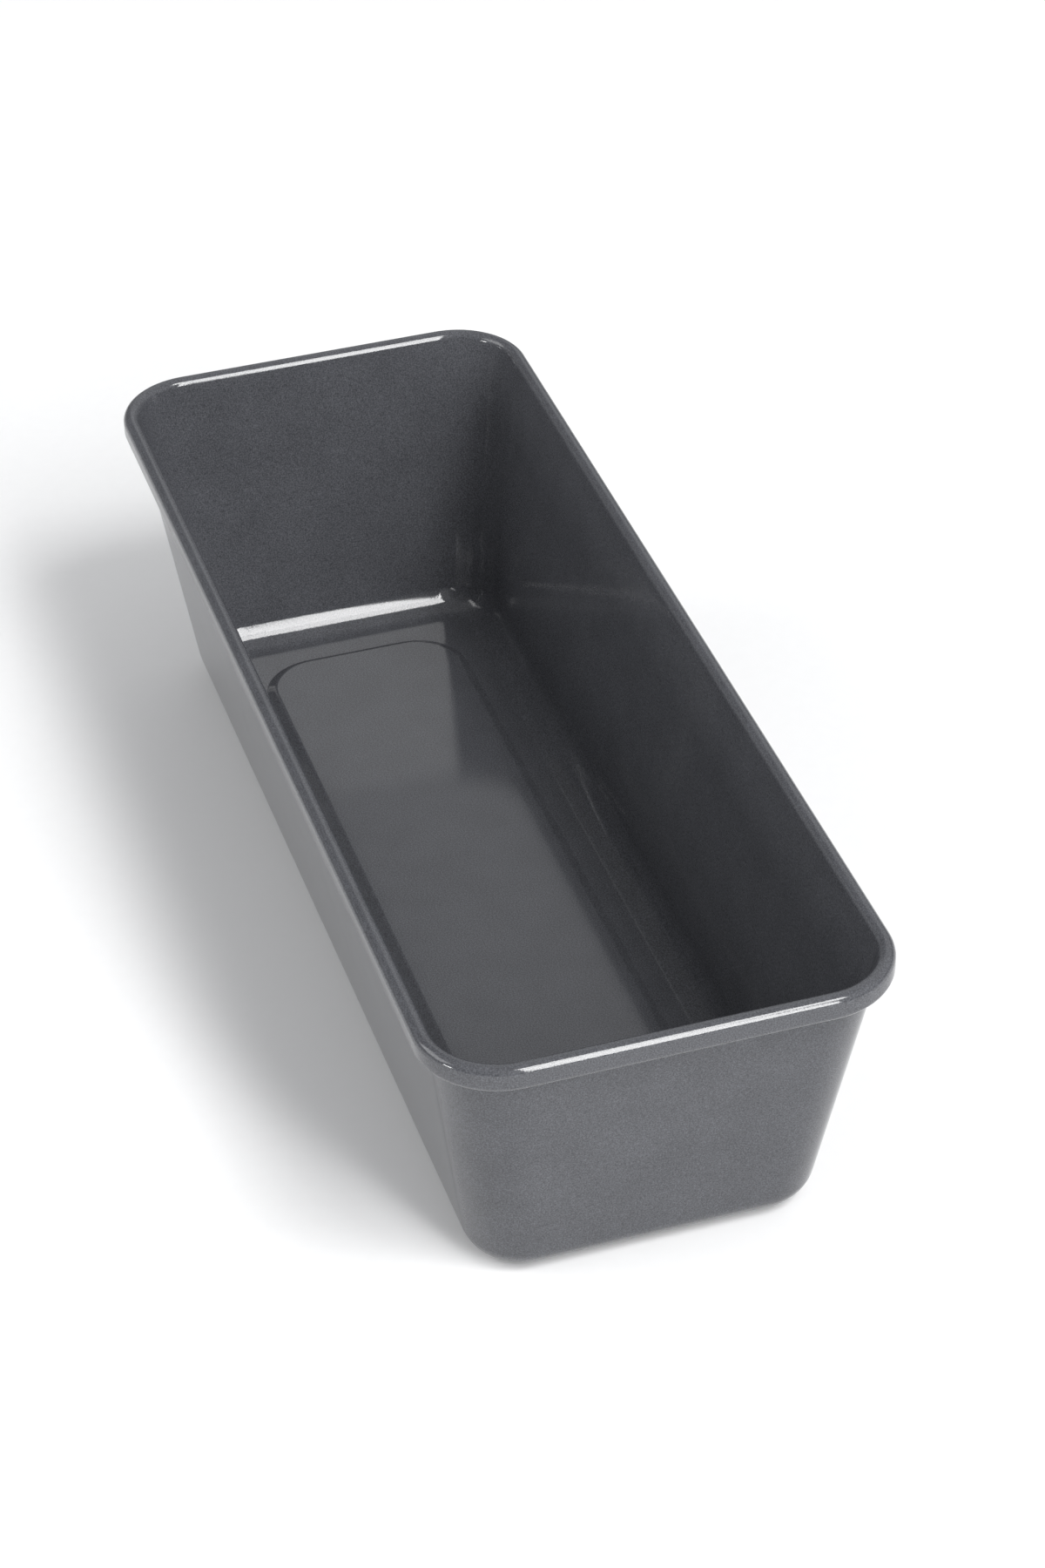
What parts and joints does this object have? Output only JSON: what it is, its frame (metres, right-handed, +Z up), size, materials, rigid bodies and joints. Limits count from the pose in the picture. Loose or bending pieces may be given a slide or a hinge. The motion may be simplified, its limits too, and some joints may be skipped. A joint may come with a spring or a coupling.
{
  "type": "loaf pan",
  "caption": "Deep rectangular loaf pan of enamelled pressed steel, with leaning walls, rounded corners, a rolled rim and a raised base panel.",
  "frame": {"origin": "middle of the base, at the height of the surface the pan stands on", "axes": "+X along the pan, +Y across it, +Z up out of the opening"},
  "size_m": [0.304, 0.1098, 0.0768],
  "materials": {
    "steel_sheet": "cold-rolled enamelling steel, covered by the enamel on both faces",
    "inner_enamel": "glossy dark anthracite vitreous enamel with fine paler speckles and a faint orange peel",
    "outer_enamel": "glossy dark anthracite vitreous enamel with fine paler speckles and a faint orange peel"
  },
  "bodies": {
    "root": {"pressed_steel_shell": "steel_sheet", "inner_face_enamel": "inner_enamel", "outer_face_enamel": "outer_enamel"}
  },
  "joints": []
}
